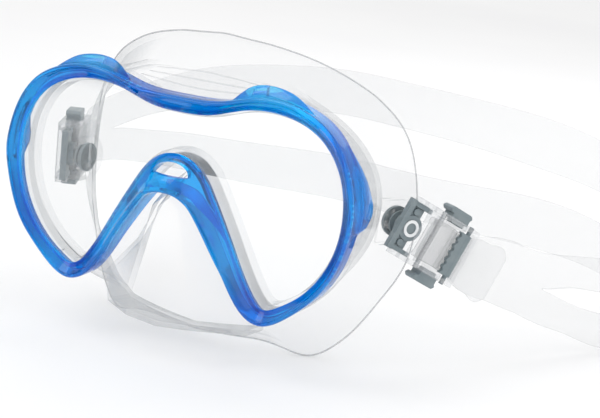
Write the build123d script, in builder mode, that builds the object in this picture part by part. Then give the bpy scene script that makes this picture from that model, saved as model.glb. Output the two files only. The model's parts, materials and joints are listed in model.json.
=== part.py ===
from build123d import *
from math import atan2, cos, degrees, hypot, radians, sin
import os

# Single-lens diving mask: one tempered lens in a two-part frame, a soft silicone skirt with a
# nose pocket, and a split head strap held by two squeeze buckles on ball studs.
#
# Frame: +X towards the wearer's left, +Y from the lens towards the face, +Z up. The origin is on
# the lens's front face, midway between the brow and the top of the nose arch. Millimetres.
# Outlines list (x, z) points of the left half, from the top centre round to the bottom centre.

os.makedirs("parts", exist_ok=True)

# ---------------------------------------------------------------- driving dimensions
lens_thickness = 3.2
lens_step = 0.6            # the frame's lip covers the lens flange, this far behind the pane
lens_flange = 2.4          # how far the flange reaches beyond the visible pane
pane_gap = 0.1

frame_front = -4.2         # the ring's crest
frame_back = 6.0
bevel_depth = 10.0         # the ring's face falls back to the lens: this deep ...
bevel_reach = 12.0         # ... over this width
pocket_reach = 2.6         # lens pocket, beyond the visible pane
arch_front = -9.0
arch_wall = 2.5
rib_reach = 3.4

retainer_reach = 5.0
retainer_front = 6.1
retainer_back = 10.9
tab_length = 7.0
tab_inner = 3.6            # the tabs stand between these distances from the lens's rim
tab_outer = 4.9
tab_gap = 0.25

lip_back = 5.0             # the skirt's clamped lip lies behind the lens
throat_reach = 0.9
skirt_wall = 2.0
web_front = 11.2
flare_wall = 2.4

stud_x = 81.5
stud_y = 50.0
stud_z = -31.0
stem_radius = 1.4
ball_radius = 2.8
ball_clearance = 0.06
boss_base = -10.5          # the boss's two ends, measured from the ball's centre along the stud
boss_face = -5.7
boss_radius = 9.4

strap_thickness = 1.8
strap_slot = 18.0          # strap width inside a buckle
roller_radius = 2.2
pin_radius = 1.0
bore_clearance = 0.05
cheek_inner = 10.9
cheek_outer = 12.9
button_travel = 1.4
button_play = 0.3

# ---------------------------------------------------------------- outlines
lens_rim = [(0, 8), (12.6, 8.8), (27.6, 13.2), (43.8, 14.4), (61.3, 8), (70, -3), (73.7, -20),
            (72, -34), (66, -47), (58.4, -55.7), (51, -61), (44.5, -63.5), (38.5, -58.3),
            (29, -42), (18.2, -22.7), (14.5, -17), (10.4, -12.6), (5.8, -9.8), (0, -8.8)]
frame_edge = [(0, 14.7), (20.5, 16.2), (31, 19.2), (43.8, 20.6), (56, 17.8), (65, 13), (71.5, 6),
              (78.4, -12), (79.2, -19), (78.2, -28), (75.2, -39), (69.7, -50), (63.8, -57),
              (56, -64), (50, -68), (45.5, -69.4), (41, -68.8), (37, -66.5), (31.4, -60.4),
              (25, -50), (18, -38.7), (12.3, -30.3), (8.4, -26), (0, -23.8)]
ear_outline = [(18.4, 14), (23, 17), (31, 23.5), (36, 24.7), (42.8, 24.5), (50, 22.5),
               (56, 18.7), (66, 11.5), (57, 14), (44, 17.5), (31, 16)]
neck_front = [(0, 14), (24, 16.5), (46, 18), (64, 10), (75, -5), (78, -22), (75, -39),
              (65, -56), (54, -65), (42, -70), (24, -73), (0, -75)]
crease = [(0, 25), (25, 23), (45, 16), (60, 4.5), (69, -10), (71.5, -27), (68, -43),
          (59.5, -57), (50, -68), (39, -77), (23, -82), (0, -83.5)]
face_edge = [(0, 37), (27, 34.5), (51, 25.5), (68, 12), (77, -7), (79.5, -27), (78, -51),
             (70, -69), (57, -88), (45, -93.5), (27, -89.5), (0, -90)]
nose_front = [(0, -25), (6, -30), (10.5, -50), (15.5, -70), (14, -78), (0, -79.5)]
nose_middle = [(0, -17), (8, -24), (21, -50), (35, -67), (33, -80), (0, -84)]
nose_back = [(0, -17), (12, -24), (30, -50), (40, -68), (32, -82.5), (0, -88)]


def facing(y):
    """The plane at depth y that faces forward; its own axes run along X and Z."""
    return Plane.XZ.offset(-y)


def moved(points, amount):
    """The half outline with every point moved outwards by amount."""
    ahead = points[1:] + [(-points[-2][0], points[-2][1])]
    behind = [(-points[1][0], points[1][1])] + points[:-1]
    grown = []
    for (x, z), (ax, az), (bx, bz) in zip(points, ahead, behind):
        length = hypot(ax - bx, az - bz)
        grown.append((x - (az - bz) / length * amount, z + (ax - bx) / length * amount))
    return grown


def outline(points):
    """The closed smooth sketch whose left half runs through the points."""
    with BuildSketch() as face:
        with BuildLine():
            Spline(*points, tangents=[(1, 0), (-1, 0)], tangent_scalars=[0.5, 0.5])
            mirror(about=Plane.YZ)
        make_face()
    return face.sketch


def facets(points):
    """The closed straight-sided sketch whose left half runs through the points."""
    with BuildSketch() as face:
        with BuildLine():
            Polyline(*points)
            mirror(about=Plane.YZ)
        make_face()
    return face.sketch


def ring(inner, outer, front, back):
    """The solid between two closed sketches, from depth front to depth back."""
    with BuildPart() as band:
        with BuildSketch(facing(front)):
            add(outer)
            add(inner, mode=Mode.SUBTRACT)
        extrude(amount=front - back)
    return band.part


def crease_depth(x):
    """How far back the skirt's crease lies at x."""
    return 22 + x * x / 220


def edge_depth(x):
    """How far back the skirt's face edge lies at x."""
    return 32 + x * x / 190


def behind_curve(depth, shift, half_width=95, reach=100, height=260):
    """Everything behind the upright sheet y = depth(x) + shift."""
    rise = depth(half_width) - depth(0)
    with BuildPart() as block:
        with BuildSketch(Plane.XY.offset(-height / 2)):
            with BuildLine():
                middle = (0, depth(0) + shift - rise)
                ends = [(side * half_width, depth(half_width) + shift) for side in (-1, 1)]
                Bezier(ends[0], middle, ends[1])
                Polyline(ends[1], (half_width, reach + rise), (-half_width, reach + rise), ends[0])
            make_face()
        extrude(amount=height)
    return block.part


# ---------------------------------------------------------------- lens
with BuildPart() as lens:
    with BuildSketch(facing(lens_step)):
        add(outline(moved(lens_rim, lens_flange)))
    extrude(amount=lens_step - lens_thickness)
    with BuildSketch(facing(0)):
        add(outline(moved(lens_rim, -pane_gap)))
    extrude(amount=-lens_thickness)
lens.part.label = "lens"
export_step(lens.part, "parts/lens.step")

# ---------------------------------------------------------------- front frame
# The bevel that every visible face of the ring is cut to.
with BuildPart() as bevel:
    with BuildSketch(facing(0)):
        add(outline(lens_rim))
    with BuildSketch(facing(-bevel_depth)):
        add(outline(moved(lens_rim, bevel_reach)))
    loft(ruled=True)

# The nose arch stands forward of the ring; its front follows this (y, z) side view.
arch_side = [(frame_back, -5), (arch_front, -5), (arch_front, -24), (-7.5, -39), (-4.5, -52),
             (frame_front, -64), (frame_back, -64)]
with BuildPart() as arch:
    with BuildSketch(facing(frame_back)):
        add(outline(frame_edge))
    extrude(amount=frame_back - arch_front)
    with BuildSketch(Plane.YZ):
        with BuildLine():
            Polyline(*arch_side, close=True)
        make_face()
    extrude(amount=32, both=True, mode=Mode.INTERSECT)

# Its hollow back keeps an even wall behind that front and behind the bevel.
hollow_side = [(y + arch_wall if y < frame_back else frame_back + 1, z) for y, z in arch_side]
with BuildPart() as arch_hollow:
    with BuildSketch(facing(frame_back + 1)):
        add(outline(moved(frame_edge, -2)))
        with Locations((0, -30)):
            Rectangle(28, 40)
        add(outline(moved(lens_rim, rib_reach)), mode=Mode.SUBTRACT)
    extrude(amount=frame_back + 1 - arch_front)
    with BuildSketch(Plane.YZ):
        with BuildLine():
            Polyline(*hollow_side, close=True)
        make_face()
    extrude(amount=30, both=True, mode=Mode.INTERSECT)
    add(bevel.part.moved(Location((0, arch_wall, 0))), mode=Mode.SUBTRACT)

# Side wings: thin walls that run back from the ring over the retaining frame.
wing_side = [(3, 7), (9, -5), (13.5, -17), (13.5, -19.5), (9, -24.5), (3, -26)]
with BuildPart() as wings:
    with BuildSketch(facing(13.5)):
        add(outline(moved(frame_edge, 1.5)))
        add(outline(frame_edge), mode=Mode.SUBTRACT)
    extrude(amount=10.5)
    with BuildSketch(Plane.YZ.offset(60)):
        with BuildLine():
            Polyline(*wing_side, close=True)
        make_face()
    extrude(amount=40, mode=Mode.INTERSECT)
    mirror(about=Plane.YZ)


def tab_places(inner, outer):
    """The middles of the snap tabs, between two distances from the lens's rim."""
    near = moved(lens_rim, inner)
    far = moved(lens_rim, outer)
    for index in (1, 4, 7, 10):
        (x0, z0), (x1, z1) = near[index], far[index]
        angle = degrees(atan2(z1 - z0, x1 - x0))
        for side in (1, -1):
            facing_angle = angle if side == 1 else 180 - angle
            yield Location((side * (x0 + x1) / 2, (z0 + z1) / 2), (0, 0, facing_angle))


with BuildPart() as front_frame:
    with BuildSketch(facing(frame_back)):
        add(outline(frame_edge))
    extrude(amount=frame_back - frame_front)
    add(arch.part)
    add(bevel.part, mode=Mode.SUBTRACT)
    with BuildSketch(facing(0)):
        add(outline(lens_rim))
    extrude(amount=-frame_back, mode=Mode.SUBTRACT)
    with BuildSketch(facing(lens_step)):
        add(outline(moved(lens_rim, pocket_reach)))
    extrude(amount=-frame_back, mode=Mode.SUBTRACT)
    add(arch_hollow.part, mode=Mode.SUBTRACT)
    # half-moon vent in the arch
    with BuildSketch(facing(frame_back)):
        with BuildLine():
            ThreePointArc((-8.2, -17), (0, -11.9), (8.2, -17))
            Line((8.2, -17), (-8.2, -17))
        make_face()
    extrude(amount=20, mode=Mode.SUBTRACT)
    add(wings.part)
    # brow ears
    with BuildSketch(facing(-0.9)):
        with BuildLine():
            Polyline(*ear_outline, close=True)
        make_face()
        mirror(about=Plane.YZ)
    extrude(amount=1.6)
    with BuildSketch(facing(frame_back)):
        with Locations(*tab_places(tab_inner, tab_outer)):
            Rectangle(tab_outer - tab_inner, tab_length)
    extrude(amount=-(retainer_back - frame_back + 0.3))
front_frame.part.label = "front_frame"
export_step(front_frame.part, "parts/front_frame.step")

# ---------------------------------------------------------------- retaining frame
with BuildPart() as retaining_frame:
    opening = outline(moved(lens_rim, throat_reach + 0.2))
    add(ring(opening, outline(moved(lens_rim, retainer_reach)), retainer_front, retainer_back))
    add(ring(opening, outline(moved(lens_rim, pocket_reach - 0.1)), lip_back, retainer_front))
    with BuildSketch(facing(lip_back)):
        with Locations(*tab_places(tab_inner - tab_gap, retainer_reach + 1)):
            Rectangle(retainer_reach + 1 - tab_inner + tab_gap, tab_length + 2 * tab_gap)
    extrude(amount=-10, mode=Mode.SUBTRACT)
retaining_frame.part.label = "retaining_frame"
export_step(retaining_frame.part, "parts/retaining_frame.step")

# ---------------------------------------------------------------- skirt
flare_depths = (18.0, 34.0, 52.0, 72.0)
furthest = 2.0             # how far a line is carried on, in lengths of the line itself


def carried_on(points, depths, next_points, next_depths, y):
    """The outline where straight lines from one outline to the next reach depth y."""
    result = []
    for (x0, z0), y0, (x1, z1), y1 in zip(points, depths, next_points, next_depths):
        part_way = min((y - y0) / (y1 - y0), furthest)
        result.append((x0 + (x1 - x0) * part_way, z0 + (z1 - z0) * part_way))
    return result


crease_depths = [crease_depth(x) for x, z in crease]
edge_depths = [edge_depth(x) for x, z in face_edge]
neck_sections = [(neck_front, web_front)]
for depth in (30.0, 50.0):
    neck_sections.append((carried_on(neck_front, [web_front] * len(crease), crease,
                                     crease_depths, depth), depth))
flare_sections = [(carried_on(crease, crease_depths, face_edge, edge_depths, depth), depth)
                  for depth in flare_depths]


def tapered(sections, shape=outline):
    """The solid lofted straight through (half outline, depth) sections."""
    with BuildPart() as body:
        for points, depth in sections:
            with BuildSketch(facing(depth)):
                add(shape(points))
        loft(ruled=True)
    return body.part


neck_inside = tapered([(moved(points, -skirt_wall), max(depth, web_front + skirt_wall))
                       for points, depth in neck_sections])
flare_inside = tapered([(moved(points, -flare_wall), depth) for points, depth in flare_sections])
nose_wall = 1.8
nose_inside = tapered([(moved(nose_front, -nose_wall), -5 + nose_wall),
                       (moved(nose_middle, -nose_wall), web_front),
                       (moved(nose_back, -nose_wall), 31)], shape=facets)

with BuildPart() as neck:
    add(tapered(neck_sections))
    add(neck_inside, mode=Mode.SUBTRACT)
    add(behind_curve(crease_depth, 0.8), mode=Mode.SUBTRACT)

with BuildPart() as flare:
    add(tapered(flare_sections))
    add(flare_inside, mode=Mode.SUBTRACT)
    add(behind_curve(crease_depth, 0), mode=Mode.INTERSECT)
    add(behind_curve(edge_depth, 0), mode=Mode.SUBTRACT)

with BuildPart() as nose_pocket:
    add(tapered([(nose_front, -5), (nose_middle, web_front), (nose_back, 30)], shape=facets))
    add(neck_inside, mode=Mode.SUBTRACT)
    add(flare_inside, mode=Mode.SUBTRACT)


# Each stud stands on a boss of the skirt, square to it. A lug's own axes: x along the boss
# towards the back, z outwards along the stud, and its origin is the ball's centre.
lugs = {
    "left": Plane(origin=(stud_x, stud_y, stud_z), x_dir=(0.588, 0.807, 0),
                  z_dir=(0.807, -0.588, 0)),
    "right": Plane(origin=(-stud_x, stud_y, stud_z), x_dir=(0, 1, 0), z_dir=(-1, 0, 0)),
}
inner_disc = (-9.0, -7.4, 6.5)             # from, to and radius
outer_disc = (boss_face, boss_face + 1.0, 5.2)


def boss(lug):
    """The D-shaped boss that carries a stud, straight in front and round behind."""
    with BuildPart() as block:
        with BuildSketch(lug.offset(boss_base)):
            with BuildLine():
                Polyline((0, -boss_radius), (-8, -boss_radius), (-8, boss_radius), (0, boss_radius))
                ThreePointArc((0, boss_radius), (boss_radius, 0), (0, -boss_radius))
            make_face()
        extrude(amount=boss_face - boss_base)
    return block.part


def disc(lug, start, end, radius):
    """A round disc on the stud's axis."""
    with BuildPart() as plate:
        with BuildSketch(lug.offset(start)):
            Circle(radius)
        extrude(amount=end - start)
    return plate.part


with BuildPart() as skirt:
    add(neck.part)
    add(flare.part)
    add(nose_pocket.part)
    throat = outline(moved(lens_rim, throat_reach))
    throat_bore = outline(moved(lens_rim, throat_reach - skirt_wall))
    add(ring(throat_bore, throat, lens_thickness, web_front + skirt_wall))
    add(ring(throat_bore, outline(moved(lens_rim, pocket_reach - 0.1)), lens_thickness, lip_back))
    with BuildSketch(facing(lens_thickness)):
        add(throat_bore)
    extrude(amount=-(web_front + skirt_wall - lens_thickness), mode=Mode.SUBTRACT)
    add(nose_inside, mode=Mode.SUBTRACT)
    for lug in lugs.values():
        add(boss(lug))
        add(disc(lug, *inner_disc), mode=Mode.SUBTRACT)
        add(disc(lug, inner_disc[1], boss_face, stem_radius), mode=Mode.SUBTRACT)
skirt.part.label = "skirt"
export_step(skirt.part, "parts/skirt.step")

# ---------------------------------------------------------------- buckles
# A buckle's own axes: x from the stud towards the back of the head, y across the strap, z away
# from the head. It hangs on its stud by a ball socket.
seats = {
    "left": Plane(origin=(stud_x, stud_y, stud_z), x_dir=(0.522, 0.716, -0.46),
                  z_dir=(0.807, -0.588, 0)),
    "right": Plane(origin=(-stud_x, stud_y, stud_z), x_dir=(-0.41, 0.91, 0),
                   z_dir=(-0.91, -0.41, 0)),
}
mask_side = {"left": 1, "right": -1}

# Half the section of a stud: a disc inside the boss, a disc on it, the stem, and then the ball.
stud_profile = [(inner_disc[0], 0), (inner_disc[0], inner_disc[2]),
                (inner_disc[1], inner_disc[2]), (inner_disc[1], stem_radius),
                (outer_disc[0], stem_radius), (outer_disc[0], outer_disc[2]),
                (outer_disc[1], outer_disc[2]), (outer_disc[1], stem_radius),
                (-(ball_radius ** 2 - stem_radius ** 2) ** 0.5, stem_radius)]

plate_bottom = 1.2
plate_top = 2.4
hub_bottom = -1.3
hub_top = 3.3
hub_radius = 5.4
roller_at = (11.6, 3.0)            # x, z of the roller's axis
gate_at = (25.2, 6.0)              # x, z of the gate's hinge
button_span = (11.2, 23.4)
button_outer = 17.2
pad_bottom = -0.8
pad_top = 5.9
heel_span = (13.6, 22.8)           # where the pad is thicker, through the cheek's window
heel_inner = 12.2
stem_inner = 10.7
window_gap = 0.3


def across(seat, place):
    """The plane across the strap at (x, z) in a buckle; its own axes are the buckle's x and z."""
    origin = seat.from_local_coords(Vector(place[0], 0, place[1]))
    return Plane(origin=origin, x_dir=seat.x_dir, z_dir=seat.y_dir * -1)


def slab(seat, x_range, y_range, z_range):
    """A block between the given limits in a buckle's own axes."""
    with BuildPart() as block:
        with BuildSketch(seat.offset(z_range[0])):
            with Locations((sum(x_range) / 2, sum(y_range) / 2)):
                Rectangle(x_range[1] - x_range[0], y_range[1] - y_range[0])
        extrude(amount=z_range[1] - z_range[0])
    return block.part


for name, seat in seats.items():
    side = mask_side[name]

    lug = lugs[name]
    with BuildPart() as stud_anchor:
        with BuildSketch(Plane(origin=lug.origin, x_dir=lug.z_dir, z_dir=lug.y_dir)):
            with BuildLine():
                Polyline(*stud_profile)
                ThreePointArc(stud_profile[-1], (0, ball_radius), (ball_radius, 0))
                Line((ball_radius, 0), stud_profile[0])
            make_face()
        revolve(axis=Axis(lug.origin, lug.z_dir))
    stud_anchor.part.label = f"stud_anchor_{name}"
    export_step(stud_anchor.part, f"parts/stud_anchor_{name}.step")

    with BuildPart() as swivel_plate:
        add(slab(seat, (-3.9, 2.4), (-9.2, 9.2), (plate_bottom, plate_top)))
        add(slab(seat, (-6.3, -3.9), (-11.2, 11.2), (plate_bottom, 4.0)))
        for edge in (1, -1):
            arm = sorted((edge * 9.0, edge * cheek_inner))
            add(slab(seat, (-3.9, 5.2), arm, (plate_bottom, 3.8)))
        with BuildSketch(seat.offset(hub_bottom)):
            Circle(hub_radius)
        extrude(amount=hub_top - hub_bottom)
        with BuildSketch(seat.offset(plate_top)):
            with Locations((-1.2, 7.0), (-1.2, -7.0)):
                Circle(1.4)
        extrude(amount=0.9)
        with Locations(seat.location):
            Sphere(ball_radius + ball_clearance, mode=Mode.SUBTRACT)
    swivel_plate.part.label = f"swivel_plate_{name}"
    export_step(swivel_plate.part, f"parts/swivel_plate_{name}.step")

    with BuildPart() as swivel_ring:
        with BuildSketch(seat.offset(hub_top)):
            Circle(3.6)
            Circle(2.3, mode=Mode.SUBTRACT)
        extrude(amount=0.7)
    swivel_ring.part.label = f"swivel_ring_{name}"
    export_step(swivel_ring.part, f"parts/swivel_ring_{name}.step")

    with BuildPart() as buckle_body:
        for edge in (1, -1):
            cheek = sorted((edge * cheek_inner, edge * cheek_outer))
            add(slab(seat, (-3.9, 3.5), cheek, (plate_bottom, 6.2)))
            add(slab(seat, (3.5, 29.4), cheek, (-1.5, 7.6)))
            add(slab(seat, (10.8, 29.4), cheek, (-3.2, -1.4)))
        add(slab(seat, (2.9, 6.6), (-cheek_outer, cheek_outer), (4.3, 7.6)))
        add(slab(seat, (27.6, 29.4), (-cheek_outer, cheek_outer), (4.9, 7.6)))
        add(slab(seat, (19.0, 29.4), (-cheek_outer, cheek_outer), (-3.2, -1.5)))
        add(slab(seat, (heel_span[0] - window_gap, heel_span[1] + window_gap),
                 (-cheek_outer - 1, cheek_outer + 1),
                 (pad_bottom - window_gap, pad_top + window_gap)), mode=Mode.SUBTRACT)
        for place in (roller_at, gate_at):
            with BuildSketch(across(seat, place)):
                Circle(pin_radius)
            extrude(amount=cheek_outer + 1, both=True, mode=Mode.SUBTRACT)
    buckle_body.part.label = f"buckle_body_{name}"
    export_step(buckle_body.part, f"parts/buckle_body_{name}.step")

    with BuildPart() as roller:
        with BuildSketch(across(seat, roller_at)):
            Circle(roller_radius)
            Circle(pin_radius + bore_clearance, mode=Mode.SUBTRACT)
        extrude(amount=cheek_inner - 0.3, both=True)
    roller.part.label = f"roller_{name}"
    export_step(roller.part, f"parts/roller_{name}.step")

    with BuildPart() as roller_pin:
        with BuildSketch(across(seat, roller_at)):
            Circle(pin_radius)
        extrude(amount=cheek_outer, both=True)
    roller_pin.part.label = f"roller_pin_{name}"
    export_step(roller_pin.part, f"parts/roller_pin_{name}.step")

    # The gate bites the strap with its toothed front edge.
    with BuildPart() as gate:
        with BuildSketch(across(seat, gate_at)):
            Circle(1.8)
            with Locations((-2.2, 0.35)):
                Rectangle(4.4, 2.1)
            Circle(pin_radius + bore_clearance, mode=Mode.SUBTRACT)
        extrude(amount=9.6, both=True)
        with BuildSketch(seat.offset(4.0)):
            with Locations((gate_at[0] - 4.6, 0)):
                with GridLocations(1, 3.2, 1, 6):
                    Circle(1.0)
        extrude(amount=4.0, mode=Mode.SUBTRACT)
    gate.part.label = f"gate_{name}"
    export_step(gate.part, f"parts/gate_{name}.step")

    with BuildPart() as gate_pin:
        with BuildSketch(across(seat, gate_at)):
            Circle(pin_radius)
        extrude(amount=cheek_outer + 0.4, both=True)
    gate_pin.part.label = f"gate_pin_{name}"
    export_step(gate_pin.part, f"parts/gate_pin_{name}.step")

    for place, edge in (("upper", side), ("lower", -side)):
        pad = sorted((edge * (cheek_outer + button_travel + button_play), edge * button_outer))
        heel = sorted((edge * heel_inner, edge * (button_outer - 1)))
        stem = sorted((edge * stem_inner, edge * (button_outer - 1)))
        with BuildPart() as button:
            add(slab(seat, button_span, pad, (pad_bottom, pad_top)))
            chamfer(button.edges().filter_by(Axis(seat.origin, seat.z_dir)), length=1.0)
            add(slab(seat, heel_span, heel, (pad_bottom, pad_top)))
            add(slab(seat, (15.0, 22.0), stem, (1.2, 4.8)))
        button.part.label = f"button_{place}_{name}"
        export_step(button.part, f"parts/button_{place}_{name}.step")

# ---------------------------------------------------------------- strap
# Each station is (point, upward hint, width, slit). The strap's tail comes out of the gate, the
# strap goes round the roller and back under it, and from there round the head.
wrap_radius = roller_radius + 0.3 + strap_thickness / 2
run_in = roller_at[1] - wrap_radius
run_out = roller_at[1] + wrap_radius
tail_run = [((49.0, 5.9), 19), ((47.4, 5.8), 23), ((39.0, 5.3), 23), ((33.0, 4.4), 22),
            ((29.6, 2.8), 18), ((24.0, 2.45), 18), ((21.2, 3.2), 18), ((17.5, 6.0), 18),
            ((15.0, run_out), 18)]
wrap_run = [((roller_at[0] - wrap_radius * sin(radians(angle)),
              roller_at[1] + wrap_radius * cos(radians(angle))), strap_slot)
            for angle in range(0, 181, 30)]
inner_run = [((17.0, run_in), 18), ((29.6, run_in), 18), ((35.0, run_in), 22)]
buckle_run = tail_run + wrap_run + inner_run

up = Vector(0, 0, 1)
head_run = [
    ((109.8, 91, -52.3), 28, 0), ((117, 101, -57), 30, 0), ((124, 111, -61.5), 32, 0),
    ((134, 127, -66.3), 36, 7), ((145, 140, -70.3), 41, 10), ((157, 151, -71.2), 43, 12),
    ((166, 162, -67.5), 47, 13), ((166.5, 174, -59.5), 51, 13), ((157, 182, -51), 55, 14),
    ((144, 183, -43), 58, 14), ((129, 178, -35.5), 60, 14), ((104, 163, -27), 62, 14),
    ((75, 149, -22), 63, 18), ((45, 138.5, -18.5), 63, 20), ((15, 132.5, -16), 62, 20),
    ((-15, 129.5, -17), 60, 19), ((-42, 126.5, -19), 56, 17), ((-66, 120.5, -21.5), 48, 12),
    ((-83, 109.5, -24.5), 38, 6), ((-92, 97, -27.5), 31, 0),
]
stations = []
for (x, z), width in buckle_run:
    seat = seats["left"]
    stations.append((seat.from_local_coords(Vector(x, 0, z)), seat.y_dir, width, 0))
slit_start = len(stations) + 2
for point, width, slit in head_run:
    stations.append((Vector(*point), up, width, slit))
slit_end = len(stations) - 1
for (x, z), width in reversed(buckle_run):
    seat = seats["right"]
    stations.append((seat.from_local_coords(Vector(x, 0, z)), seat.y_dir * -1, width, 0))


def station_plane(index):
    """The plane across the strap's run at a station, upright round the back of the head."""
    before = stations[max(index - 1, 0)][0]
    after = stations[min(index + 1, len(stations) - 1)][0]
    along = (after - before).normalized()
    if slit_start < index < slit_end:
        along = Vector(along.X, along.Y, 0).normalized()
    thickness_dir = stations[index][1].cross(along).normalized()
    return Plane(origin=stations[index][0], x_dir=thickness_dir, z_dir=along)


def ribbon(first, last, which):
    """The strap between two stations: the whole width, or the band above or below the slit."""
    with BuildPart() as band:
        for index in range(first, last + 1):
            width, slit = stations[index][2:]
            rise = 0 if which == 0 else which * (width + slit) / 4
            band_width = width if which == 0 else (width - slit) / 2
            with BuildSketch(station_plane(index)):
                with Locations((0, rise)):
                    Rectangle(strap_thickness, band_width)
        loft(ruled=True)
    return band.part


with BuildPart() as strap:
    add(ribbon(0, slit_start, 0))
    add(ribbon(slit_start, slit_end, 1))
    add(ribbon(slit_start, slit_end, -1))
    add(ribbon(slit_end, len(stations) - 1, 0))
strap.part.label = "strap"
export_step(strap.part, "parts/strap.step")
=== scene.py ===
import json
import math

import bmesh
import bpy
import numpy as np
from mathutils import Matrix, Vector


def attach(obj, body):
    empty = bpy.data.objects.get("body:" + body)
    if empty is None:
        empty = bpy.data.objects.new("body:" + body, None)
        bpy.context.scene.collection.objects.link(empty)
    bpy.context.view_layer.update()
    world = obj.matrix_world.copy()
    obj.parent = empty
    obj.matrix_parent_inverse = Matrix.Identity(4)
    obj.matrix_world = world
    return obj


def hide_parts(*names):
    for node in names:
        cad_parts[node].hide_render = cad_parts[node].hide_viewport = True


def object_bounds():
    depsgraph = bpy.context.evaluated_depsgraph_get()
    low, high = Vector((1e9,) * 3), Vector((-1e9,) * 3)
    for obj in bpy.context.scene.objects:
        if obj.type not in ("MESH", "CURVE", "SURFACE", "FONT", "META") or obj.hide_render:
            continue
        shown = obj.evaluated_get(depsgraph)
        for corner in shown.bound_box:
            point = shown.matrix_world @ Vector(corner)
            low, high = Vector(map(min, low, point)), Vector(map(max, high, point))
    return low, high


# A single-lens diving mask with a clear silicone skirt, a blue frame and a split strap on two
# squeeze buckles. Lengths in the outlines below are millimetres; every mesh is made in metres.
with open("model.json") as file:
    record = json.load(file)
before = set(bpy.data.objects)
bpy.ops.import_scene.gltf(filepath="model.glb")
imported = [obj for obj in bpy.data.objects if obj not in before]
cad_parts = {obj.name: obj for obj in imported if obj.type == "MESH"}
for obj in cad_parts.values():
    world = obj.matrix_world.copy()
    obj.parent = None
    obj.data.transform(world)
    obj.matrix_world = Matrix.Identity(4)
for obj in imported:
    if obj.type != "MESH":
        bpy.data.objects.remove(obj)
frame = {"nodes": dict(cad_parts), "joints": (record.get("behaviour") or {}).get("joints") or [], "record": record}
cad_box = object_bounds()
record = frame["record"]
MM = 0.001
SIDES = ("left", "right")


# ---------------------------------------------------------------- curves and meshes
def spline(points, step, closed=False, measured=3):
    """A cubic spline through the rows of points, about one sample per step of its length.

    The first `measured` columns are the place, and any further ones are carried along.
    """
    rows = np.array(points, float)
    if closed:
        rows = np.vstack([rows, rows[:1]])
    lengths = np.linalg.norm(np.diff(rows[:, :measured], axis=0), axis=1)
    knots = np.concatenate([[0], np.cumsum(lengths)])
    last = len(knots) - 1
    system = np.zeros((last + 1, last + 1))
    target = np.zeros_like(rows)
    slopes = np.diff(rows, axis=0) / lengths[:, None]
    for i in range(1, last):
        system[i, i - 1:i + 2] = (lengths[i - 1], 2 * (lengths[i - 1] + lengths[i]), lengths[i])
        target[i] = 6 * (slopes[i] - slopes[i - 1])
    if closed:
        system[0, [0, last]] = (1, -1)
        system[last, [0, 1, last - 1]] = (2 * (lengths[0] + lengths[-1]), lengths[0], lengths[-1])
        target[last] = 6 * (slopes[0] - slopes[-1])
    else:
        system[0, 0] = system[last, last] = 1
    bend = np.linalg.solve(system, target)
    count = max(int(round(knots[-1] / step)), 2)
    at = np.linspace(0, knots[-1], count, endpoint=not closed)
    i = np.clip(np.searchsorted(knots, at, side="right") - 1, 0, last - 1)
    span, past = lengths[i][:, None], (at - knots[i])[:, None]
    left = span - past
    return (bend[i] * left ** 3 + bend[i + 1] * past ** 3) / (6 * span) \
        + (rows[i] / span - bend[i] * span / 6) * left \
        + (rows[i + 1] / span - bend[i + 1] * span / 6) * past


def whole(half):
    """The closed outline whose left half is given from top centre to bottom centre."""
    return half + [(-x, z) for x, z in reversed(half[1:-1])]


def smooth(low, high, value):
    """0 below low, 1 above high and an even turn between them."""
    t = np.clip((value - low) / (high - low), 0, 1)
    return t * t * (3 - 2 * t)


def mesh_piece(name, points, faces, material, flat_angle=40):
    """A mesh object with outward normals, smooth except over edges sharper than flat_angle."""
    mesh = bpy.data.meshes.new(name)
    mesh.from_pydata([tuple(p) for p in points], [], faces)
    made = bmesh.new()
    made.from_mesh(mesh)
    bmesh.ops.remove_doubles(made, verts=made.verts, dist=1e-6)
    bmesh.ops.dissolve_degenerate(made, edges=made.edges, dist=1e-7)
    bmesh.ops.recalc_face_normals(made, faces=made.faces)
    made.to_mesh(mesh)
    made.free()
    piece = bpy.data.objects.new(name, mesh)
    bpy.context.scene.collection.objects.link(piece)
    mesh.materials.append(material)
    mesh.shade_smooth()
    mesh.set_sharp_from_angle(angle=math.radians(flat_angle))
    return piece


def lofted(rings, closed_run=False):
    """Points and faces of the tube through equally long closed rings, capped if it has ends."""
    count, size = len(rings), len(rings[0])
    points = [p for ring in rings for p in ring]
    faces = []
    for i in range(count if closed_run else count - 1):
        a, b = i * size, (i + 1) % count * size
        for j in range(size):
            k = (j + 1) % size
            faces.append((a + j, a + k, b + k, b + j))
    if not closed_run:
        faces.append(tuple(range(size)))
        faces.append(tuple(range((count - 1) * size, count * size)))
    return points, faces


def apply_modifiers(piece):
    """Writes what the piece's modifiers make into its own mesh."""
    made = bpy.data.meshes.new_from_object(piece.evaluated_get(
        bpy.context.evaluated_depsgraph_get()))
    piece.modifiers.clear()
    piece.data = made


def finished(piece, body, slot, *nodes):
    """The piece rides on its body and stands for the CAD nodes, which it hides; slot is not used."""
    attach(piece, body)
    if nodes:
        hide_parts(*nodes)


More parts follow.
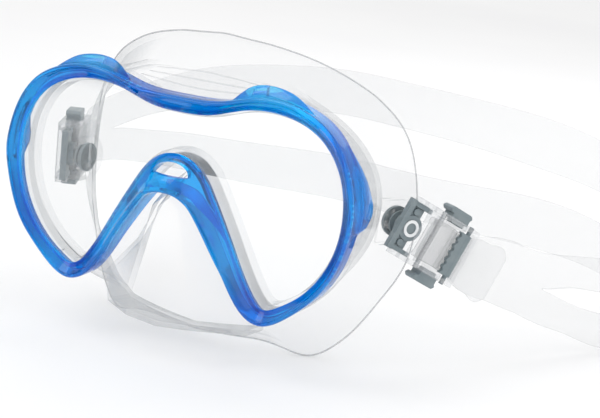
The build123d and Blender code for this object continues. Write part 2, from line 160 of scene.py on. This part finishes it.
# ---------------------------------------------------------------- materials
class Shader:
    """A Principled material that is built node by node."""

    def __init__(self, name, **values):
        self.material = bpy.data.materials.new(name)
        self.material.use_nodes = True
        self.tree = self.material.node_tree
        self.main = self.tree.nodes["Principled BSDF"]
        for socket, value in values.items():
            self.main.inputs[socket.replace("_", " ")].default_value = value

    def node(self, kind, **settings):
        made = self.tree.nodes.new(kind)
        for key, value in settings.items():
            setattr(made, key, value)
        return made

    def link(self, source, target):
        self.tree.links.new(source, target)
        return self

    def place(self, stretch=(1, 1, 1)):
        """The object's own coordinates, in metres, stretched along its axes."""
        mapping = self.node("ShaderNodeMapping")
        mapping.inputs["Scale"].default_value = stretch
        self.link(self.node("ShaderNodeTexCoord").outputs["Object"], mapping.inputs["Vector"])
        return mapping.outputs["Vector"]

    def noise(self, scale, detail=3.0, stretch=(1, 1, 1)):
        made = self.node("ShaderNodeTexNoise")
        made.inputs["Scale"].default_value = scale
        made.inputs["Detail"].default_value = detail
        self.link(self.place(stretch), made.inputs["Vector"])
        return made.outputs["Fac"]

    def spread(self, source, low, high, start=0.3, end=0.7):
        """The source's start to end as a number from low to high."""
        made = self.node("ShaderNodeMapRange")
        for socket, value in zip(("From Min", "From Max", "To Min", "To Max"),
                                 (start, end, low, high)):
            made.inputs[socket].default_value = value
        self.link(source, made.inputs["Value"])
        return made.outputs["Result"]

    def tint(self, source, low, high, start=0.3, end=0.7):
        """The source's start to end as a colour from low to high."""
        made = self.node("ShaderNodeMix", data_type="RGBA")
        made.inputs["A"].default_value = (*low, 1)
        made.inputs["B"].default_value = (*high, 1)
        self.link(self.spread(source, 0, 1, start, end), made.inputs["Factor"])
        return [s for s in made.outputs if s.name == "Result" and s.type == "RGBA"][0]

    def rim(self, blend=0.35):
        """1 where the surface is seen edge on and 0 where it faces the eye."""
        made = self.node("ShaderNodeLayerWeight")
        made.inputs["Blend"].default_value = blend
        return made.outputs["Facing"]

    def bump(self, source, depth, strength=1.0):
        made = self.node("ShaderNodeBump")
        made.inputs["Distance"].default_value = depth
        made.inputs["Strength"].default_value = strength
        self.link(source, made.inputs["Height"])
        return self.link(made.outputs["Normal"], self.main.inputs["Normal"])

    def into(self, socket, source):
        return self.link(source, self.main.inputs[socket])


def clear_moulding(name, face, edge, body, line, roughness, cloud=60, ior=1.45, turn=0.5):
    """A see-through moulding: `body` is how much its faces hide, `line` how much its edges do. Where it is seen
    edge on its colour turns from `face` to the darker `edge`: painted shade standing in for dark surroundings seen
    through its edges.
    """
    made = Shader(name, IOR=ior)
    rim = made.rim()
    # painted shade: the colour darkens towards edge where the surface is seen edge on, and the alpha rises there
    # so that this dark colour shows
    made.into("Base Color", made.tint(rim, face, edge, turn, 0.92))
    clouds = made.noise(cloud)
    made.into("Roughness", made.spread(clouds, roughness * 0.7, roughness * 1.4))
    made.into("Alpha", made.spread(rim, body, line, turn, 0.95))
    made.bump(made.noise(cloud * 6), 0.00003)
    return made.material


def blue_plastic():
    """Clear blue moulded plastic, deeper in colour where it is thicker."""
    made = Shader("frame_blue", IOR=1.49, Transmission_Weight=0.86, Specular_IOR_Level=0.4)
    cast = made.tint(made.noise(34, 1.0, (1, 1, 0.5)), (0.0, 0.17, 0.74), (0.0, 0.46, 1.0),
                     0.38, 0.62)
    axes = made.node("ShaderNodeSeparateXYZ")
    made.link(made.place(), axes.inputs["Vector"])
    thin = made.node("ShaderNodeMix", data_type="RGBA")
    thin.inputs["B"].default_value = (0.10, 0.62, 1.0, 1)
    made.link(cast, thin.inputs["A"])
    made.link(made.spread(axes.outputs["Z"], 0, 1, 0.0185, 0.0215), thin.inputs["Factor"])
    made.into("Base Color", [s for s in thin.outputs if s.type == "RGBA"][0])
    made.into("Roughness", made.spread(made.noise(90), 0.03, 0.08))
    made.bump(made.noise(420), 0.00002)
    return made.material


def grey_plastic():
    """Satin moulded plastic with a fine spark-eroded grain."""
    made = Shader("grey_plastic", IOR=1.46)
    made.into("Base Color", made.tint(made.noise(130), (0.17, 0.215, 0.235), (0.225, 0.265, 0.28)))
    made.into("Roughness", made.spread(made.noise(500), 0.32, 0.48))
    made.bump(made.noise(2600, 1.0), 0.00004, 0.5)
    return made.material


def white_plastic():
    """Gloss white plastic."""
    made = Shader("white_plastic", IOR=1.5)
    made.into("Base Color", made.tint(made.noise(200), (0.78, 0.80, 0.81), (0.88, 0.89, 0.90)))
    made.into("Roughness", made.spread(made.noise(600), 0.18, 0.3))
    return made.material


def steel():
    """Bright turned stainless steel."""
    made = Shader("steel_pin", Metallic=1.0)
    turned = made.noise(900, 2.0, (1, 1, 8))
    made.into("Base Color", made.tint(turned, (0.55, 0.57, 0.59), (0.68, 0.70, 0.71)))
    made.into("Roughness", made.spread(turned, 0.18, 0.34))
    return made.material


def lens_glass():
    """Tempered glass: clear face on, faintly green and brighter edge on."""
    made = Shader("lens_glass", IOR=1.52)
    rim = made.rim(0.5)
    made.into("Base Color", made.tint(rim, (0.80, 0.86, 0.87), (0.62, 0.74, 0.72), 0.5, 1.0))
    made.into("Roughness", made.spread(made.noise(40), 0.01, 0.03))
    made.into("Alpha", made.spread(rim, 0.05, 0.55, 0.45, 1.0))
    return made.material


MATERIALS = {
    "lens_glass": lens_glass(),
    "frame_blue": blue_plastic(),
    # The second colour of each clear moulding is painted shade: the dark edge-on rim that dark surroundings seen
    # through its edges would give
    "clear_frame": clear_moulding("clear_frame", (0.66, 0.69, 0.72), (0.28, 0.31, 0.34),
                                  0.10, 0.78, 0.08, ior=1.58, turn=0.45),
    "clear_buckle": clear_moulding("clear_buckle", (0.76, 0.78, 0.80), (0.20, 0.22, 0.24),
                                   0.22, 0.92, 0.06, ior=1.58),
    "skirt_silicone": clear_moulding("skirt_silicone", (0.64, 0.66, 0.68), (0.25, 0.27, 0.29),
                                     0.085, 0.86, 0.14, ior=1.41, turn=0.42),
    # painted shade: a darker copy of the skirt silicone for the bead along the skirt's edge, standing in for the
    # dark line its edge shows
    "skirt_edge_shade": clear_moulding("skirt_edge_shade", (0.40, 0.42, 0.44), (0.16, 0.17, 0.18),
                                 0.35, 0.85, 0.2, ior=1.41, turn=0.3),
    "strap_silicone": clear_moulding("strap_silicone", (0.76, 0.77, 0.78), (0.24, 0.26, 0.28),
                                     0.19, 0.90, 0.18, ior=1.41, turn=0.40),
    "grey_plastic": grey_plastic(),
    "white_plastic": white_plastic(),
    "steel_pin": steel(),
}
slot_of = {row["node"]: row["material_slot"] for row in record["subparts"]}
for node, piece in frame["nodes"].items():
    piece.data.materials.clear()
    piece.data.materials.append(MATERIALS[slot_of[node]])


def softened(node, width, angle=28):
    """Rounds a CAD node's sharp edges a little, as a mould does."""
    piece = frame["nodes"][node]
    weld = piece.modifiers.new("weld", "WELD")
    weld.merge_threshold = 1e-6
    flat = piece.modifiers.new("flat", "DECIMATE")
    flat.decimate_type = "DISSOLVE"
    flat.angle_limit = math.radians(1)
    round_edges = piece.modifiers.new("round", "BEVEL")
    round_edges.width = width
    round_edges.segments = 2
    round_edges.limit_method = "ANGLE"
    round_edges.angle_limit = math.radians(angle)
    piece.data.shade_smooth()
    even = piece.modifiers.new("even", "WEIGHTED_NORMAL")
    even.keep_sharp = True


for side in SIDES:
    softened(f"buckle_body_{side}", 0.30 * MM)
    softened(f"swivel_plate_{side}", 0.25 * MM)
    softened(f"gate_{side}", 0.15 * MM)
    softened(f"button_upper_{side}", 0.30 * MM)
    softened(f"button_lower_{side}", 0.30 * MM)
    softened(f"swivel_ring_{side}", 0.20 * MM)

# ---------------------------------------------------------------- front frame
# Half outlines of the pane and of the frame's outside, (x, z) from top centre to bottom centre.
lens_rim = [(0, 8), (12.6, 8.8), (27.6, 13.2), (43.8, 14.4), (61.3, 8), (70, -3), (73.7, -20),
            (72, -34), (66, -47), (58.4, -55.7), (51, -61), (44.5, -63.5), (38.5, -58.3),
            (29, -42), (18.2, -22.7), (14.5, -17), (10.4, -12.6), (5.8, -9.8), (0, -8.8)]
frame_edge = [(0, 14.7), (20.5, 16.2), (31, 19.2), (43.8, 20.6), (56, 17.8), (65, 13), (71.5, 6),
              (78.4, -12), (79.2, -19), (78.2, -28), (75.2, -39), (69.7, -50), (63.8, -57),
              (56, -64), (50, -68), (45.5, -69.4), (41, -68.8), (37, -66.5), (31.4, -60.4),
              (25, -50), (18, -38.7), (12.3, -30.3), (8.4, -26), (0, -23.8)]
ear_top = [(18.4, 14), (20.4, 15), (23, 17), (31, 23.5), (36, 24.7), (42.8, 24.5), (50, 22.5),
           (56, 18.7), (63, 13.5)]
ring_crest = 4.2           # how far the ring's crest stands in front of the lens
ring_back = 6.0
bevel_slope = 10.0 / 12.0
lens_pocket = 2.6
lip = 0.6
arch_wall = 2.5
wing_flare = 1.5


def pairs():
    """Matching places (x, z) round the frame: on the pane's rim and on the frame's outside."""
    inner = spline(whole(lens_rim), 1.0, closed=True, measured=2)
    outer = spline(whole(frame_edge), 0.1, closed=True, measured=2)
    total = len(outer)
    index = [0.0]
    for point in inner[1:]:
        reach = np.arange(int(index[-1]), int(index[-1]) + total // 12)
        away = np.linalg.norm(outer[reach % total] - point, axis=1)
        index.append(float(reach[int(np.argmin(away))]))
    index = np.array(index)
    count = len(inner)
    drift = index - np.arange(count) * total / count
    window = 7
    wrapped = np.concatenate([drift[-window:], drift, drift[:window]])
    even = np.convolve(wrapped, np.ones(2 * window + 1) / (2 * window + 1), "valid")
    places = np.round(np.arange(count) * total / count + even).astype(int) % total
    return inner, outer[places]


def arch_rise(x, z):
    """How far the nose arch stands in front of the lens at a place on the frame."""
    front = np.interp(-z, [5, 24, 39, 52, 64], [9.0, 9.0, 7.5, 4.5, ring_crest])
    return ring_crest + (front - ring_crest) * (1 - smooth(29, 35, abs(x))) * (z < 4)


def wing_back(x, z):
    """How far back the frame's outside wall runs."""
    if abs(x) < 55:
        return ring_back
    return float(np.interp(-z, [-6, 5, 16, 20, 25, 27], [ring_back, 9, 13.4, 13.4, 9, ring_back]))


def frame_section(inner, outer):
    """The closed section of the frame between two matching places, as (x, y, z) points."""
    run = outer - inner
    width = float(np.linalg.norm(run))
    away = run / width
    middle = inner + run * 0.6
    rise = float(arch_rise(*middle))
    deep = float(smooth(7.5, 9.5, width))
    back = wing_back(*outer)
    flare = wing_flare * float(smooth(ring_back, 10, back))

    def front(d):
        """The bevel turning into the crest at distance d from the rim."""
        ramp, turn = bevel_slope * d, 0.8
        mix = max(turn - abs(ramp - rise), 0) / turn
        return -(min(ramp, rise) - mix * mix * turn / 4)

    section = [(0.0, 0.15), (0.12, front(0.12))]
    section += [(width * share, front(width * share)) for share in (0.14, 0.3, 0.45, 0.6, 0.72)]
    for inset, drop in ((1.5, 0.0), (0.9, 0.12), (0.4, 0.45), (0.1, 1.0), (0.0, 1.6)):
        section.append((width - inset, front(width) + drop))
    section += [(width, 1.5), (width + flare * 0.6, 3.2), (width + flare, ring_back - 0.6)]
    section += [(width + flare, back - 0.5), (width + flare - 0.3, back)]
    section += [(width - 0.2, back), (width - 0.4, back - 0.3), (width - 0.4, ring_back)]
    hollow_start, hollow_end = lens_pocket + 0.8, max(width - 2.0, lens_pocket + 1.0)
    for d in (hollow_end, hollow_end, (hollow_start + hollow_end) / 2, hollow_start, hollow_start):
        section.append((d, ring_back))
    for k in (-4, -3, -2):
        d = section[k][0]
        floor = front(d) + arch_wall
        section[k] = (d, ring_back + (floor - ring_back) * deep)
    section += [(lens_pocket, ring_back), (lens_pocket, lip), (0.3, lip), (0.0, lip - 0.1)]
    return [((inner[0] + away[0] * d) * MM, y * MM, (inner[1] + away[1] * d) * MM)
            for d, y in section]


def cutter(name, outline, front, back):
    """A prism through the frame that a modifier cuts away; it isn't kept."""
    rings = [[(x * MM, y * MM, z * MM) for x, z in outline] for y in (front, back)]
    return mesh_piece(name, *lofted(rings), MATERIALS["frame_blue"])


def cut(piece, tool, kind="DIFFERENCE"):
    """Applies a boolean of piece with tool and throws the tool away."""
    step = piece.modifiers.new(kind.lower(), "BOOLEAN")
    step.operation, step.solver, step.object = kind, "EXACT", tool
    bpy.context.view_layer.update()
    apply_modifiers(piece)
    bpy.data.objects.remove(tool)


def brow_ear(side):
    """A thin plate that leans back from the ring's crest up to the brow."""
    top = spline(ear_top, 1.0, measured=2)
    base = np.column_stack([np.linspace(19, 61, len(top)),
                            np.interp(np.linspace(19, 61, len(top)), [19, 31, 43.8, 56, 61],
                                      [12.5, 16.4, 17.6, 15.0, 12.2])])
    rings = []
    for lower, upper in zip(base, top):
        ring = []
        height = max(upper[1] - lower[1], 0.5)
        rows = ((0, -3.4), (0.5, -3.0), (0.9, -2.2), (1.0, -1.6), (0.96, -0.9), (0.85, -0.7),
                (0.5, -1.2), (0, -1.6))
        for share, y in rows:
            lean = 1.6 * share * min(height / 7, 1)
            x, z = lower + (upper - lower) * share
            ring.append((side * x * MM, (y + lean) * MM, z * MM))
        rings.append(ring)
    return mesh_piece("ear", *lofted(rings), MATERIALS["frame_blue"])


def front_frame():
    """The blue frame: ring, nose arch with its vent, side wings and brow ears."""
    rings = [frame_section(a, b) for a, b in zip(*pairs())]
    piece = mesh_piece("blue_front_frame", *lofted(rings, closed_run=True),
                       MATERIALS["frame_blue"])
    vent = [(8.2 * math.cos(math.radians(a)), -17 + 5.1 * math.sin(math.radians(a)))
            for a in range(0, 181, 10)]
    cut(piece, cutter("vent", vent, -20, 20))
    for side in (1, -1):
        cut(piece, brow_ear(side), "UNION")
        snap = [(side * x, z) for x, z in ((30.8, 17.5), (31.4, 22.2), (36.8, 23.4), (37.4, 17.5))]
        cut(piece, cutter("snap", snap, -0.6, 2.2), "UNION")
    piece.data.shade_smooth()
    piece.data.set_sharp_from_angle(angle=math.radians(35))
    finished(piece, "mask", "frame_blue", "front_frame")


front_frame()


# ---------------------------------------------------------------- skirt
seal_depth = 32.0          # the face seal's edge is at this depth in the mirror plane ...
seal_curve = 190.0         # ... and x squared over this further back
ridge_depths = (13.2, 16.2, 19.2)
ridge_height = 0.42
ridge_half_width = 0.8
bead_radius = 0.32
softened("skirt", 0.5 * MM, 32)


def brow_ridges():
    """Low ridges across the top of the skirt, laid on its CAD surface."""
    source = frame["nodes"]["skirt"]
    points, faces = [], []
    for y in ridge_depths:
        half = 27.0 - 0.6 * (y - 13)
        rings = []
        for x in np.linspace(-half, half, 60):
            above = Vector((x * MM, y * MM, 0.06))
            hit, place, normal, _ = source.ray_cast(above, Vector((0, 0, -1)))
            if not hit:
                continue
            height = ridge_height * MM * math.sqrt(max(1 - (x / half) ** 2, 0.02))
            side = Vector((0, ridge_half_width * MM, 0))
            rings.append([place + side * math.cos(t) + normal * (height * math.sin(t))
                          for t in np.linspace(0, 2 * math.pi, 12, endpoint=False)])
        made, loops = lofted(rings)
        faces += [tuple(i + len(points) for i in loop) for loop in loops]
        points += made
    piece = mesh_piece("brow_ridges", points, faces, MATERIALS["skirt_silicone"], 60)
    finished(piece, "mask", "skirt_silicone")


brow_ridges()


def shaded_edge_bead():
    """The fine rolled edge round the skirt's face seal, in a darker silicone: its dark colour is painted shade,
    the dark line that the silicone's edge shows when seen edge on.
    """
    source = bmesh.new()
    source.from_mesh(frame["nodes"]["skirt"].data)
    bmesh.ops.remove_doubles(source, verts=source.verts, dist=1e-6)
    source.verts.index_update()
    source.verts.ensure_lookup_table()
    reach = {}
    for edge in source.edges:
        ends = [v.co / MM for v in edge.verts]
        at_rim = all(abs(p.y - seal_depth - p.x ** 2 / seal_curve) < 0.05 for p in ends)
        if at_rim and len(edge.link_faces) == 2 and edge.calc_face_angle() > 1.0:
            for here in edge.verts:
                reach.setdefault(here.index, []).append(edge.other_vert(here))
    loops, seen = [], set()
    for start in sorted(reach):
        if start in seen:
            continue
        run, here = [], start
        while here is not None:
            seen.add(here)
            run.append(source.verts[here].co / MM)
            here = next((v.index for v in reach[here] if v.index not in seen), None)
        loops.append(run)
    outer = max(loops, key=lambda run: max(p.x for p in run) - min(p.x for p in run))
    line = spline([tuple(p) for p in outer[::2]], 1.5, closed=True)
    source.free()
    along = np.roll(line, -1, axis=0) - np.roll(line, 1, axis=0)
    along /= np.linalg.norm(along, axis=1)[:, None]
    radial = np.cross(along, (0, 1, 0))
    radial /= np.linalg.norm(radial, axis=1)[:, None]
    rings = [[(p + bead_radius * (math.cos(t) * a + math.sin(t) * np.cross(a, b))) * MM
              for t in np.linspace(0, 2 * math.pi, 8, endpoint=False)]
             for p, a, b in zip(line, radial, along)]
    # The bead's dark material is painted shade along the skirt's edge.
    piece = mesh_piece("skirt_edge_bead", *lofted(rings, closed_run=True),
                       MATERIALS["skirt_edge_shade"], 60)
    finished(piece, "mask", "skirt_silicone")


shaded_edge_bead()

# ---------------------------------------------------------------- strap
joints = {joint["name"]: joint for joint in frame["joints"]}
roller_at = (11.6, 3.0)    # a buckle's own x and z of its roller and of its gate's hinge
gate_at = (25.2, 6.0)
strap_width = 18.0
wrap_radius = 3.4
strap_half = 0.9           # half the strap's thickness at its rims
strap_thin = 0.66          # ... and between them
rib_height = 0.24
rib_pitch = 2.2
slit_floor = 0.35          # narrower slits than this are closed


def seat(side):
    """A buckle's own axes, as (origin, x, y, z), worked out from its roller and its gate."""
    roller, gate = joints[f"roller_turn_{side}"], joints[f"gate_lift_{side}"]
    y = np.array(gate["axis"])
    reach = (np.array(gate["pos_m"]) - np.array(roller["pos_m"])) / MM
    a, b = gate_at[0] - roller_at[0], gate_at[1] - roller_at[1]
    turned = np.cross(y, reach)
    x = (a * reach + b * turned) / (a * a + b * b)
    z = (b * reach - a * turned) / (a * a + b * b)
    origin = np.array(roller["pos_m"]) / MM - roller_at[0] * x - roller_at[1] * z
    return origin, x, y, z


tail_run = [(49.0, 5.9, 19), (47.4, 5.8, 23), (39.0, 5.3, 23), (33.0, 4.4, 22), (29.6, 2.8, 18),
            (24.0, 2.45, 18), (21.2, 3.2, 18), (17.5, 6.0, 18), (15.0, 6.4, 18)]
wrap_run = [(roller_at[0] - wrap_radius * math.sin(math.radians(angle)),
             roller_at[1] + wrap_radius * math.cos(math.radians(angle)), strap_width)
            for angle in range(0, 181, 30)]
inner_run = [(17.0, roller_at[1] - wrap_radius, 18), (29.6, roller_at[1] - wrap_radius, 18),
             (35.0, roller_at[1] - wrap_radius, 22)]
# Round the head: x, y, z, the strap's width and the width of its slit.
head_run = [(109.8, 91, -52.3, 28, 0), (117, 101, -57, 30, 0), (124, 111, -61.5, 32, 0),
            (134, 127, -66.3, 36, 7), (145, 140, -70.3, 41, 10), (157, 151, -71.2, 43, 12),
            (166, 162, -67.5, 47, 13), (166.5, 174, -59.5, 51, 13), (157, 182, -51, 55, 14),
            (144, 183, -43, 58, 14), (129, 178, -35.5, 60, 14), (104, 163, -27, 62, 14),
            (75, 149, -22, 63, 18), (45, 138.5, -18.5, 63, 20), (15, 132.5, -16, 62, 20),
            (-15, 129.5, -17, 60, 19), (-42, 126.5, -19, 56, 17), (-66, 120.5, -21.5, 48, 12),
            (-83, 109.5, -24.5, 38, 6), (-92, 97, -27.5, 31, 0)]


def strap_stations():
    """Rows of place (3), across direction (3), width, slit, upright share and rib share."""
    rows = []
    for side, sign in (("left", 1), ("right", -1)):
        origin, x, y, z = seat(side)
        run = [(*(origin + a * x + b * z), *(sign * y), width, 0, 0, float(i < len(tail_run)))
               for i, (a, b, width) in enumerate(tail_run + wrap_run + inner_run)]
        rows.append(run)
    head = [(x, y, z, 0, 0, 1, width, slit, float(0 < i < len(head_run) - 1), 0)
            for i, (x, y, z, width, slit) in enumerate(head_run)]
    return rows[0] + head + rows[1][::-1]


def strap():
    """The split silicone strap with raised rims and, on its tails, cross ribs."""
    rows = spline(strap_stations(), 0.6)
    place = rows[:, :3]
    along = np.gradient(place, axis=0)
    along[:, 2] *= 1 - np.clip(rows[:, 8], 0, 1)
    along /= np.linalg.norm(along, axis=1)[:, None]
    outward = np.cross(rows[:, 3:6], along)
    outward /= np.linalg.norm(outward, axis=1)[:, None]
    across = np.cross(along, outward)
    travelled = np.concatenate([[0], np.cumsum(np.linalg.norm(np.diff(place, axis=0), axis=1))])
    points, faces = [], []
    loops = []
    for k in range(len(rows)):
        edge = rows[k, 6] / 2
        slit = rows[k, 7] / 2 if rows[k, 7] > slit_floor else 0.0
        wave = 0.5 + 0.5 * math.cos(travelled[k] * 2 * math.pi / rib_pitch)
        top = strap_thin + rib_height * np.clip(rows[k, 9], 0, 1) * wave
        bead = strap_half if slit > 1.5 else strap_thin
        column = [(slit, bead - 0.25 if slit else top), (slit + 0.5, bead if slit else top),
                  (slit + 1.6, bead if slit else top), (slit + 2.2, top),
                  ((slit + edge) / 2, top), (edge - 2.6, top), (edge - 2.0, strap_half),
                  (edge - 0.7, strap_half), (edge - 0.2, strap_half - 0.25), (edge, 0.25)]
        loop = {}
        for half in (1, -1):
            for face in (1, -1):
                ids = []
                for v, h in column:
                    plain = face == -1 and v <= edge - 3 and h <= strap_thin + 0.2
                    depth = strap_thin if plain else h
                    ids.append(len(points))
                    at = place[k] + across[k] * half * v + outward[k] * face * depth
                    points.append(at * MM)
                loop[half, face] = ids
        loops.append((loop, slit))
    for (a, slit_a), (b, slit_b) in zip(loops, loops[1:]):
        for half in (1, -1):
            for face in (1, -1):
                for i in range(len(column) - 1):
                    p, q = a[half, face], b[half, face]
                    faces.append((p[i], p[i + 1], q[i + 1], q[i]))
            faces.append((a[half, 1][-1], a[half, -1][-1], b[half, -1][-1], b[half, 1][-1]))
            if slit_a or slit_b:
                faces.append((a[half, 1][0], a[half, -1][0], b[half, -1][0], b[half, 1][0]))
    for loop, _ in (loops[0], loops[-1]):
        ends = loop[1, 1][::-1] + loop[-1, 1] + loop[-1, -1][::-1] + loop[1, -1]
        faces.append(tuple(ends))
    piece = mesh_piece("split_strap", points, faces, MATERIALS["strap_silicone"], 50)
    finished(piece, "strap_set", "strap_silicone", "strap")


strap()


# ---------------------------------------------------------------- floor, light and camera
def studio():
    """A pale floor, a white surround and three broad lights."""
    low, high = cad_box
    reach = 3.0
    mesh = bpy.data.meshes.new("floor")
    corners = [(-reach, -reach), (reach, -reach), (reach, reach), (-reach, reach)]
    mesh.from_pydata([(x, y, low.z - 0.0003) for x, y in corners], [], [(0, 1, 2, 3)])
    floor = bpy.data.objects.new("floor", mesh)
    bpy.context.scene.collection.objects.link(floor)
    paint = Shader("floor_white", Roughness=0.9)
    paint.into("Base Color", paint.tint(paint.noise(3), (0.93, 0.93, 0.935), (0.96, 0.96, 0.96)))
    mesh.materials.append(paint.material)

    world = bpy.data.worlds.new("studio")
    bpy.context.scene.world = world
    world.use_nodes = True
    background = world.node_tree.nodes["Background"]
    background.inputs["Color"].default_value = (1, 1, 1, 1)
    background.inputs["Strength"].default_value = 0.93

    middle = (low + high) / 2
    for name, place, size, power in (
            ("key", (-0.35, -0.55, 0.75), 0.5, 1.5),
            ("fill", (0.65, -0.35, 0.45), 0.6, 0.8),
            ("back", (0.1, 0.8, 0.6), 0.7, 1.3)):
        light = bpy.data.lights.new(name, "AREA")
        light.size, light.energy = size, power
        lamp = bpy.data.objects.new(name, light)
        lamp.location = place
        lamp.rotation_euler = (middle - Vector(place)).to_track_quat("-Z", "Y").to_euler()
        bpy.context.scene.collection.objects.link(lamp)


def camera():
    """Three-quarter view from the front left, a little above, with the camera rolled."""
    turn, rise, roll = (math.radians(a) for a in (24.2, 13.7, 6.3))
    distance, shift_right, shift_up, drop = 0.597, 0.0504, 0.0082, 0.023
    back = Vector((math.sin(turn) * math.cos(rise), -math.cos(turn) * math.cos(rise),
                   math.sin(rise)))
    right = Vector((math.cos(turn), math.sin(turn), 0))
    up = back.cross(right)
    rolled_right = right * math.cos(roll) + up * math.sin(roll)
    rolled_up = -right * math.sin(roll) + up * math.cos(roll)
    lens = bpy.data.cameras.new("camera")
    lens.lens, lens.sensor_width = 90, 36
    lens.clip_start, lens.clip_end = 0.01, 50
    seen = bpy.data.objects.new("camera", lens)
    place = back * distance + rolled_right * shift_right - rolled_up * shift_up \
        - Vector((0, 0, drop))
    turned = Matrix((rolled_right, rolled_up, back)).transposed().to_4x4()
    seen.matrix_world = Matrix.Translation(place) @ turned
    bpy.context.scene.collection.objects.link(seen)
    bpy.context.scene.camera = seen


studio()
camera()
bpy.context.scene.view_settings.view_transform = "Standard"
